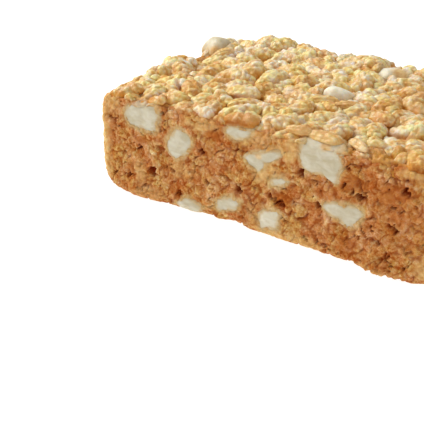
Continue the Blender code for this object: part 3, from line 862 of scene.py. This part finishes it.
def crumb_depth(points):
    """How far the cut crumb lies in from the knife's plane, each cell's random tone, its fine hollows, and
    its openings, which are later darkened with painted shade.
    """
    bent = warped(points, *CRUMB_WARP)
    crag = CRAG_DEPTH * (0.5 + 0.6 * noise_at(points, CRAG_SPAN))
    crumb = 0.5 + 0.8 * noise_at(points, *CRUMB_NOISE)
    lines = np.zeros(len(points))
    for span, half_width, deep in GRAIN_LINES:
        lines = lines + deep * (1 - smooth_step(np.abs(noise_at(bent, span, LINE_SHIFT)), 0, half_width))
    places, draws = scatter_over_bar(CELL_SPAN, CELL_SEED)
    near, after, nearest = nearest_two(bent, places)
    split = 1 - smooth_step(after - near, *CREVICE_WIDTH)
    crevice = CREVICE_DEPTH * split * smooth_step(noise_at(points, *CREVICE_NOISE), *CREVICED)
    torn = warped(points, *HOLE_WARP)
    pit = np.zeros(len(points))
    for number, (span, radii, deep) in enumerate(PITS):
        holes, sizes = scatter_over_bar(span, PIT_SEED + number)
        near, _, hole = nearest_two(torn, holes)
        radius = np.maximum(radii[0] + (radii[1] - radii[0]) * sizes[hole], 0.01)
        pit = np.maximum(pit, deep * (1 - smooth_step(near, radius * HOLE_FLOOR, radius)))
    for x, z, radius in FRONT_CAVITIES:
        near = np.hypot(torn[:, 0] - x, torn[:, 2] - z) / radius + 9 * (points[:, 1] > -WIDTH / 2 + 1)
        pit = np.maximum(pit, CAVITY_DEPTH * (1 - smooth_step(near, HOLE_FLOOR, 1)))
    depth = crag + CRUMB_DEPTH * crumb + lines + crevice - PROUD
    depth = depth * (PRESSED_LEAST + (1 - PRESSED_LEAST) * smooth_step(points[:, 2], *PRESSED_SPAN))
    fine = np.clip(0.55 * crumb + lines / sum(deep for *_, deep in GRAIN_LINES), 0, 1)
    return depth + pit, draws[nearest], fine, np.maximum(crevice, pit)


def underside_depth(points):
    """The pressed underside: flat backs of grains with shallow gaps between them."""
    places, draws = scatter_over_bar(BACKS_SPAN, BACKS_SEED)
    near, after, nearest = nearest_two(warped(points, *BACKS_WARP), places)
    gap = 1 - smooth_step(after - near, *BACKS_GAP)
    fine = BACKS_ROUGH * np.abs(noise_at(points, *BACKS_NOISE))
    pit = BACKS_PIT_DEPTH * smooth_step(noise_at(points, *BACKS_PIT_NOISE), *BACKS_PIT)
    return BACKS_GAP_DEPTH * gap + fine + pit, draws[nearest]


def front_patches(points, patches):
    """How much the front is covered by these patches here, from 0 to 1."""
    cover = np.zeros(len(points))
    for x, z, half_width, half_height, strength in patches:
        reach = np.hypot((points[:, 0] - x) / half_width, (points[:, 2] - z) / half_height)
        cover = np.maximum(cover, strength * smooth_step(-reach, *PATCH_EDGE))
    return cover * smooth_step(-points[:, 1], WIDTH / 2 - 6, WIDTH / 2 - 1)


def dress_body(name, points, outward, faces, pieces, material):
    """Gives a part of the body its relief and its attributes and makes it a piece."""
    side = np.minimum(1.5 * np.hypot(outward[:, 0], outward[:, 1]), 1)
    above = np.clip(2 * outward[:, 2] - 1, 0, 1)
    below = np.maximum(-outward[:, 2], 0)
    cut_depth, shade, fine, opening_shade = crumb_depth(points)
    flat_depth, flat_shade = underside_depth(points)
    top_depth = 0.5 + 0.5 * noise_at(points, TOP_SPAN)
    depth = side * cut_depth + below * flat_depth + above * TOP_DEPTH * top_depth
    gap = gap_to_pieces(points, pieces, ("front", "back", "left", "right", "underside")) + ragged(points)
    patch = noise_at(points, *PATCH_NOISE)
    rim = 1 - smooth_step(gap + 0.5 * patch, 0.0, RIM_OUTSIDE)
    stray = points + 0.9 * patch[:, None]
    film = np.clip(front_patches(stray, FRONT_FILMS_AND_LIGHT) * (0.9 + 0.45 * patch), 0, 1)
    smear = front_patches(points + 0.5 * patch[:, None], FRONT_SMEARS)
    drops = front_patches(points, FRONT_DROPS)
    film = np.maximum(film * (1 - smear), drops)
    melted = np.maximum(np.maximum(rim, 0.6 * film), 1.3 * smear)
    depth = depth + 0.45 * melted * (RIM_DEPTH - depth)
    depth = depth + (POCKET_DEPTH - depth) * (1 - smooth_step(gap, *POCKET_EDGE))
    attributes = {
        "cut": np.clip(side + below, 0, 1),
        # Painted shade: the crumb's fine hollows, the covered top under the grains and the crumb's openings
        # are darkened.
        "hollow": np.clip(fine * side + above, 0, 1) * (1 - 0.6 * np.minimum(melted, 1)),
        "opening_shade": smooth_step(opening_shade, 0.15, 0.8) * side * (1 - np.minimum(melted, 1)),
        "film": film,
        "rim": rim * (1 - smear),
        "smear": smear * (1 - drops),
        "toasted": front_patches(stray, FRONT_TOASTED) * (1 - np.minimum(melted, 1)),
        "shade": shade * (1 - below) + flat_shade * below,
    }
    points = points - outward * depth[:, None]
    make_piece(name, points, faces, attributes, material, "toasted_rice", "crisped_rice")


def build_body(pieces, material):
    rows, outward = body_walls()
    half = rows.shape[1] // 2
    for name, first in (("crumb_back", 0), ("crumb_front", half)):
        columns = np.arange(first, first + half + 1) % rows.shape[1]
        faces = net_faces(len(rows), half + 1, False)
        points = rows[:, columns].reshape(-1, 3)
        dress_body(name, points, outward[:, columns].reshape(-1, 3), faces, pieces, material)
    points, facing, faces = [], [], []
    for edge, step, upward in ((rows[0], UNDERSIDE_STEP, False), (rows[-1], COVERED_STEP, True)):
        grid, net = cap(edge[:, :2], step, seed=int(upward))
        heights = [body_top(x, y) if upward else 0 for x, y in grid]
        a, b, c = (np.concatenate((edge[:, :2], grid))[net[:, k]] for k in range(3))
        area = (b - a)[:, 0] * (c - a)[:, 1] - (b - a)[:, 1] * (c - a)[:, 0]
        turned = (area > 0) != upward
        net[turned] = net[turned][:, ::-1]
        faces.append(net + sum(len(part) for part in points))
        points += [edge, np.column_stack((grid, heights))]
        facing.append(np.tile((0, 0, 1 if upward else -1), (len(edge) + len(grid), 1)))
    dress_body("pressed_faces", *map(np.concatenate, (points, facing, faces)), pieces, material)


# ---- the grains ----


def spread_over_ball(count, draw):
    """Directions spread evenly over a ball, each moved a little."""
    step = np.arange(count) + 0.5
    height = 1 - 2 * step / count
    turn = step * math.pi * (3 - math.sqrt(5)) + draw.uniform(0, 2 * math.pi)
    around = np.sqrt(1 - height**2)
    spread = np.column_stack((around * np.cos(turn), around * np.sin(turn), height))
    spread = spread + draw.uniform(-1, 1, spread.shape) * 0.5 / math.sqrt(count)
    return spread / np.linalg.norm(spread, axis=1, keepdims=True)


def grain_skin(template, grain, height, spacing, wrinkle, draw):
    """A grain's points about its middle, and how deep in a crease each lies."""
    half = grain["size"] / 2 * GRAIN_SLACK
    points = template.copy()
    points[:, 0] = np.sign(points[:, 0]) * np.abs(points[:, 0]) ** GRAIN_BLUNTNESS
    outward = template / half
    outward = outward / np.linalg.norm(outward, axis=1, keepdims=True)
    points = points * half
    area = math.pi * half[1] * (half[0] + half[1]) * 1.6
    count = max(FEWEST_BLISTERS, round(area / spacing**2))
    centres = spread_over_ball(count, draw) * half
    radii = draw.uniform(*BLISTER_RADIUS, count) * spacing
    apart = np.linalg.norm(points[:, None] - centres[None], axis=2) / radii
    nearest = apart.min(axis=1)
    dome = np.sqrt(1 - np.minimum(nearest / BLISTER_EDGE, 1) ** 2)
    around = np.arctan2(template[:, 2], template[:, 1])
    wave = np.cos(WRINKLES_AROUND * around + 2 * template[:, 0] + draw.uniform(0, 6))
    wave = wave * (1 - template[:, 0] ** 2)
    lumps = layered(points + draw.uniform(0, 90, 3), LUMPS)
    raised = height * (dome - 0.5) + wrinkle * wave + lumps
    points = points + outward * raised[:, None]
    points[:, 1] += grain["bend"] * grain["size"][1] * (1 - (points[:, 0] / half[0]) ** 2)
    return points, smooth_step(nearest, *CREASE) * min(1, height / CREASED_HEIGHT)


def inside_knife(points, inset):
    """The points pressed in where they pass this far in from the cut sides, and how far each was past it."""
    corner = np.array((LENGTH / 2 - CORNER_ROUND, WIDTH / 2 - CORNER_ROUND))
    past = np.maximum(np.abs(points[:, :2]) - corner, 0)
    length = np.hypot(past[:, 0], past[:, 1])
    over = np.maximum(length - (CORNER_ROUND - inset), 0)
    kept = TRIM_SOFTNESS * (1 - np.exp(-over / TRIM_SOFTNESS))
    share = (over - kept) / np.maximum(length, 1e-9)
    held = points.copy()
    held[:, :2] -= np.sign(points[:, :2]) * past * share[:, None]
    return held, over


def lay_on_top(points, grain):
    x, y = grain["place"]
    slope_x = (top_level(x + 1, y) - top_level(x - 1, y)) / 2
    slope_y = (top_level(x, y + 1) - top_level(x, y - 1)) / 2
    upright = Vector((-slope_x, -slope_y, 1)).normalized()
    lean = Vector((0, 0, 1)).rotation_difference(upright).to_matrix().to_4x4()
    middle = Vector((x, y, top_level(x, y))) - upright * grain["size"][2] * (0.5 - grain["lift"])
    turn = Matrix.Rotation(grain["turn"], 4, "Z") @ Matrix.Rotation(grain["tilt"], 4, "Y")
    return transformed(points, np.array(Matrix.Translation(middle) @ lean @ turn))


def usual_paleness(x, y):
    """How pale the whole and small grains are here."""
    toasted = smooth_step(x, *TOASTED_FROM) * smooth_step(-x, *TOASTED_TO) * smooth_step(-y, *TOASTED_NEAR)
    return PALE_BACK * smooth_step(y, *PALE_SPAN) - TOASTED_MUCH * toasted


def build_grains(name, grains, template, kind, pieces, seed, material):
    points_of_ball, faces_of_ball = template
    draw = np.random.RandomState(seed)
    points, faces, looks = [], [], {"cut": [], "hollow": [], "film": [], "shade": []}
    for number, grain in enumerate(grains):
        skin, crease = grain_skin(points_of_ball, grain, *kind, draw)
        laid = lay_on_top(skin, grain)
        torn = TRIM_DEPTH + TRIM_ROUGH * (0.5 + 0.5 * noise_at(laid, *TRIM_NOISE))
        held, over = inside_knife(laid, torn)
        points.append(held)
        faces.append(faces_of_ball + number * len(points_of_ball))
        # Painted shade: a grain darkens in its creases and down its lower side, partly sugar that pools
        # there.
        lower_shade = smooth_step(laid[:, 2].max() - held[:, 2], *LOWER_SHADE_SPAN)
        pale = grain.get("pale", usual_paleness(*grain["place"]))
        pale += sum(much * hump(np.array(grain["place"]), place, reach) for place, reach, much in PALE_PLACES)
        looks["cut"].append(CUT_MOST * smooth_step(over, *CUT_PAST))
        looks["hollow"].append(np.maximum(CREASE_SHADE_MOST * crease, lower_shade))
        looks["film"].append(np.full(len(held), grain.get("film", 0.0)))
        looks["shade"].append(np.full(len(held), draw.uniform() + pale))
    points = np.concatenate(points)
    gap = gap_to_pieces(points, pieces, ("front", "back", "left", "right", "top"))
    attributes = {key: np.concatenate(values) for key, values in looks.items()}
    attributes["rim"] = 1 - smooth_step(gap + 0.5 * noise_at(points, *GRAIN_RIM_NOISE), *GRAIN_RIM)
    attributes.update((key, np.zeros(len(points))) for key in ("opening_shade", "smear", "toasted"))
    make_piece(name, points, np.concatenate(faces), attributes, material, "toasted_rice", "crisped_rice")


# ---- the marshmallow ----


def piece_rows(on_top):
    """Rings of a piece from its face's middle to its back: share of the reach, added reach, and level."""
    if on_top:
        thick = TOP_PIECE_THICKNESS / 2
        return [(math.cos(tilt) ** TOP_PIECE_ROUND, 0, thick * math.sin(tilt)) for tilt in TOP_PIECE_RINGS]
    rows = [(share, 0, -PIECE_INSET - RIM_DROP * share**6) for share in FACE_RINGS]
    rows.append((1, PIECE_UNDERCUT / 2, -PIECE_INSET - 2.5 * RIM_DROP))
    rows.append((1, PIECE_UNDERCUT, -PIECE_INSET - 6 * RIM_DROP))
    for share in BACK_RINGS:
        fall = math.sqrt(1 - share**2)
        rows.append((share, 0, -PIECE_INSET - 9 * RIM_DROP - (PIECE_DEPTH - 10 * RIM_DROP) * fall))
    return rows


def build_marshmallow(name, piece, material):
    """A piece in a cut face goes on under the crumb's edge and narrows into the rice. A top one is round."""
    on_top = piece["face"] == "top"
    reach = piece["reach"][:-1, None]
    ahead = np.column_stack((np.cos(piece["angles"][:-1]), np.sin(piece["angles"][:-1])))
    rows = piece_rows(on_top)
    count = len(reach)
    rings = []
    for share, added, level in rows:
        rings.append(np.column_stack((ahead * (reach * share + added), np.full(count, level))))
    column = np.arange(count)
    faces = [net_faces(len(rows), count, True)[:, ::-1]]
    for first, flip in ((0, False), ((len(rows) - 1) * count, True)):
        fan = np.column_stack((np.full(count - 2, first), first + column[1:-1], first + column[2:]))
        faces.append(fan[:, ::-1] if flip else fan)
    laid = transformed(np.concatenate(rings), piece["frame"])
    gap, _ = outline_gap(laid, piece)
    gap = gap + ragged(laid)
    wave = layered(laid, PIECE_WAVES) + layered(laid * STREAK_STRETCH, PIECE_STREAKS)
    film = np.zeros(len(laid))
    if on_top:
        rim = smooth_step(piece["frame"][2, 3] - laid[:, 2] + layered(laid, TOP_PIECE_RIM), *TOP_PIECE_MELTED)
        for place, round_it in TOP_FILMS:
            away = np.linalg.norm(laid - place, axis=1) / round_it
            film = np.maximum(film, 1 - smooth_step(away, 0.5, 1.1))
        wave = 1.5 * wave + layered(laid, TOP_PIECE_WAVES)
    else:
        rim = 1 - smooth_step(-gap + layered(laid, PIECE_RIM), 0.0, RIM_INSIDE)
        rim = rim * (1 - front_patches(laid, FRONT_SMEARS))
        film = front_patches(laid, FRONT_DROPS)
        if piece["face"] != "underside":
            wave = wave - edge_inset(laid)
            laid[:, 2] = np.maximum(laid[:, 2], PIECE_LOWEST)
    laid = laid + piece["frame"][:3, 2] * wave[:, None]
    # Painted light and shade: the top's pieces get the lit white, the others the duller white as in shade.
    raised = WHITENESS_AND_LIGHT.get(name, 0.6 if on_top else 0.0)
    attributes = {"rim": rim, "film": film, "raised": np.full(len(laid), raised)}
    make_piece(name + "_piece", laid, np.concatenate(faces), attributes, material, "marshmallow", name)


# ---- materials ----


class Shader:
    """Shorthand for building one material's nodes."""

    def __init__(self, name):
        self.material = bpy.data.materials.new(name)
        self.material.use_nodes = True
        self.tree = self.material.node_tree
        self.surface = self.tree.nodes["Principled BSDF"]
        self.place = self.node("TexCoord", "Object", {})

    def set(self, sockets, values):
        """Gives sockets a number, a colour or another node's output each."""
        for key, value in values.items():
            if isinstance(value, bpy.types.NodeSocket):
                self.tree.links.new(value, sockets[key])
            elif isinstance(value, tuple) and len(sockets[key].default_value) == 4:
                sockets[key].default_value = (*value, 1)
            else:
                sockets[key].default_value = value

    def node(self, kind, output, inputs, **settings):
        node = self.tree.nodes.new("ShaderNode" + kind)
        for name, value in settings.items():
            setattr(node, name, value)
        self.set(node.inputs, inputs)
        return node.outputs[output]

    def attribute(self, name):
        return self.node("Attribute", "Fac", {}, attribute_name=name)

    def noise(self, span, detail=3, roughness=0.55, distortion=0, place=None):
        grain = {"Scale": 1 / (span * MM), "Detail": detail, "Roughness": roughness, "Distortion": distortion}
        return self.node("TexNoise", "Fac", {"Vector": place or self.place, **grain})

    def cells(self, span):
        """The distance to the middle of the nearest of lumps about this far apart, from 0 to about 0.9."""
        return self.node("TexVoronoi", "Distance", {"Vector": self.place, "Scale": 1 / (span * MM)})

    def stretched(self, scale):
        return self.node("Mapping", "Vector", {"Vector": self.place, "Scale": scale})

    def ramp(self, value, stops):
        colours = self.node("ValToRGB", "Color", {"Fac": value})
        elements = colours.node.color_ramp.elements
        while len(elements) < len(stops):
            elements.new(0.5)
        for element, (position, colour) in zip(elements, stops):
            element.position = position
            element.color = (*colour, 1)
        return colours

    def mix(self, share, a, b, blend="MIX"):
        return self.node("Mix", 2, {0: share, 6: a, 7: b}, data_type="RGBA", blend_type=blend)

    def span(self, value, low, high, to_low=0.0, to_high=1.0):
        limits = {"From Min": low, "From Max": high, "To Min": to_low, "To Max": to_high}
        return self.node("MapRange", "Result", {"Value": value, **limits})

    def maths(self, operation, a, b):
        return self.node("Math", 0, {0: a, 1: b}, operation=operation)

    def total(self, whole, *parts):
        """The sum of a value and others, each with its factor."""
        for value, factor in parts:
            whole = self.maths("ADD", whole, self.maths("MULTIPLY", value, factor))
        return whole

    def covered(self, colour, name, most, over):
        """A colour covered with another where an attribute says so, by this share at most."""
        return self.mix(self.span(self.attribute(name), 0, 1, 0, most), colour, over)

    def melted(self):
        return self.ramp(self.noise(1.0, 4, 0.65), MELTED)

    def golden(self):
        return self.ramp(self.noise(1.1, 3), GOLDEN)

    def bump(self, height, depth, strength, **below):
        inputs = {"Height": height, "Distance": depth * MM, "Strength": strength}
        return self.node("Bump", "Normal", {**inputs, **below})

    def finished(self, inputs):
        self.set(self.surface.inputs, inputs)
        return self.material


def rice_material():
    """Toasted rice: golden skins, tan crumb where it is cut, red-brown painted shade in its creases, crevices
    and holes, and golden film.
    """
    s = Shader("toasted_rice_finish")
    shade = s.attribute("shade")
    cut = s.attribute("cut")
    lumps = s.cells(0.85)
    # The skin is painted lighter on the middles of the bump's lumps and darker at their edges: a painted
    # highlight and painted shade that follow the bump.
    toast = s.total(s.span(lumps, 0.1, 0.8, 0.10, -0.10), (s.noise(1.9, 4, 0.6), 0.8), (shade, 0.22))
    skin = s.mix(1.0, s.ramp(toast, SKIN), s.ramp(s.noise(3.0, 3, 0.6, 0.3), SKIN_YELLOWS), "MULTIPLY")
    # The crumb gets a little of the same painted highlight and shade on the lumps.
    tone = s.total(
        s.span(lumps, 0.1, 0.8, 0.04, -0.06),
        (s.noise(0.5, 5, 0.75, 0.3), 0.95),
        (s.noise(3.0, 3, 0.6), 0.4),
        (shade, 0.12),
    )
    crumb = s.mix(1.0, s.ramp(tone, CRUMB), s.ramp(s.noise(2.6, 4, 0.6, 0.4), CRUMB_EARTHS), "MULTIPLY")
    crumb = s.mix(1.0, crumb, s.ramp(s.noise(1.5, 4, 0.65, 0.3), CRUMB_REDS), "MULTIPLY")
    red = s.maths("MAXIMUM", s.span(s.noise(1.8, 4, 0.65, 0.4), 0.5, 0.66, 0, 0.7), s.attribute("toasted"))
    crumb = s.mix(s.maths("MULTIPLY", red, 0.8), crumb, TOASTED)
    colour = s.mix(cut, skin, crumb)
    # Painted shade covers the creases, crevices and holes first; then film, the melted rim and smears cover
    # it.
    for name, most, over in (
        ("hollow", 0.78, s.mix(cut, SKIN_CREASE_SHADE, CRUMB_CREVICE_SHADE)),
        ("opening_shade", 0.93, HOLE_SHADE),
        ("film", 0.93, s.golden()),
        ("rim", 0.75, s.melted()),
        ("smear", 1, SMEARED),
    ):
        colour = s.covered(colour, name, most, over)
    gloss = s.span(s.noise(0.8, 2), 0.35, 0.65, 0.25, 0.5)
    relief = s.bump(s.noise(0.3, 3, 0.65), 0.11, 1.0)
    lumpy = s.maths("MULTIPLY", lumps, s.span(cut, 0, 1, -1.0, -0.6))
    return s.finished(
        {
            "Base Color": colour,
            "Roughness": s.maths("ADD", gloss, s.span(cut, 0, 1, 0, 0.3)),
            "Specular IOR Level": s.span(s.maths("MAXIMUM", cut, s.attribute("hollow")), 0, 1, 0.5, 0.05),
            "Subsurface Weight": 0.2,
            "Subsurface Radius": (1.0, 0.5, 0.2),
            "Subsurface Scale": 0.6 * MM,
            "Normal": s.bump(lumpy, 0.22, 0.9, Normal=relief),
        }
    )


def marshmallow_material():
    """Marshmallow: soft matt white with faint streaks, painted duller on the cut faces as in shade and whiter
    on the top as lit, and a rim that has melted into the rice.
    """
    s = Shader("marshmallow_finish")
    streaks = s.noise(1.4, 4, 0.55, 0.4, s.stretched((0.7, 1, 1.2)))
    colour = s.covered(s.ramp(streaks, SHADED_MARSHMALLOW), "raised", 1, s.ramp(streaks, LIT_MARSHMALLOW))
    colour = s.covered(colour, "film", 0.9, s.golden())
    colour = s.covered(colour, "rim", 0.95, s.melted())
    return s.finished(
        {
            "Base Color": colour,
            "Roughness": 0.55,
            "Subsurface Weight": 0.5,
            "Subsurface Radius": (1.0, 0.8, 0.5),
            "Subsurface Scale": 1.2 * MM,
            "Normal": s.bump(streaks, 0.12, 0.5),
        }
    )


# ---- stage, light and camera ----


def set_stage():
    shader = Shader("floor_white")
    inputs = {"Base Color": (FLOOR_SHADE,) * 3, "Roughness": 0.9, "Emission Color": (1.0, 1.0, 1.0)}
    material = shader.finished({**inputs, "Emission Strength": FLOOR_GLOW})
    bm = bmesh.new()
    bmesh.ops.create_grid(bm, x_segments=1, y_segments=1, size=FLOOR_SIZE * MM)
    mesh = bpy.data.meshes.new("floor")
    bm.to_mesh(mesh)
    bm.free()
    mesh.materials.append(material)
    floor = bpy.data.objects.new("floor", mesh)
    bpy.context.scene.collection.objects.link(floor)


def put(name, data, place, ahead):
    """Puts a lamp or a camera at this place, looking in this direction."""
    obj = bpy.data.objects.new(name, data)
    obj.location = place * MM
    obj.rotation_mode = "QUATERNION"
    obj.rotation_quaternion = ahead.to_track_quat("-Z", "Y")
    bpy.context.scene.collection.objects.link(obj)
    return obj


def set_light():
    scene = bpy.context.scene
    scene.view_settings.view_transform = "Standard"
    scene.world = bpy.data.worlds.new("studio")
    scene.world.use_nodes = True
    background = scene.world.node_tree.nodes["Background"]
    background.inputs["Color"].default_value = (1, 1, 1, 1)
    background.inputs["Strength"].default_value = WORLD_LIGHT
    key = bpy.data.lights.new("key", "AREA")
    key.size = KEY_SIZE * MM
    key.energy = KEY_POWER
    key.color = KEY_COLOUR
    put("key", key, KEY_FROM, -KEY_FROM)


def set_camera():
    level = math.cos(CAMERA_ELEVATION)
    across, along = math.sin(CAMERA_AZIMUTH) * level, -math.cos(CAMERA_AZIMUTH) * level
    back = Vector((across, along, math.sin(CAMERA_ELEVATION)))
    lens = bpy.data.cameras.new("camera")
    lens.lens = CAMERA_LENS
    lens.sensor_width = SENSOR_WIDTH
    lens.clip_start = 5 * MM
    bpy.context.scene.camera = put("camera", lens, CAMERA_TARGET + back * CAMERA_DISTANCE, -back)


def build():
    rice = rice_material()
    white = marshmallow_material()
    pieces = all_pieces()
    build_body(pieces, rice)
    grains = lay_grains()
    draw = random.Random(KIND_SEED)
    shares = [kind[4] for kind in GRAIN_KINDS]
    kinds = draw.choices(range(len(GRAIN_KINDS)), shares, k=len(grains))
    large = ball(*LARGE_BALL)
    for number, (name, *kind, _) in enumerate(GRAIN_KINDS):
        chosen = [grain for grain, its_kind in zip(grains, kinds) if its_kind == number]
        build_grains(name, chosen, large, kind, pieces, number, rice)
    build_grains("small_grains", lay_fillers(grains), ball(*SMALL_BALL), FILLER_KIND, pieces, 9, rice)
    build_grains("edge_grains", edge_grains(), large, EDGE_KIND, pieces, 5, rice)
    for name, piece in pieces.items():
        build_marshmallow(name, piece, white)


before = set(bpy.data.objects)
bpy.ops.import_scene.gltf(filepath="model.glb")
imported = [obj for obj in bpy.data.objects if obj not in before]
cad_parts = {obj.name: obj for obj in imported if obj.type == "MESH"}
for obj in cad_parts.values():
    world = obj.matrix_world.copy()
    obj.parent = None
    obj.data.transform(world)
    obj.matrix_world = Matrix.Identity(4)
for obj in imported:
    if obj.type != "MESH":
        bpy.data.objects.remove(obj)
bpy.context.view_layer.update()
set_camera()
set_light()
set_stage()
build()
bpy.context.view_layer.update()
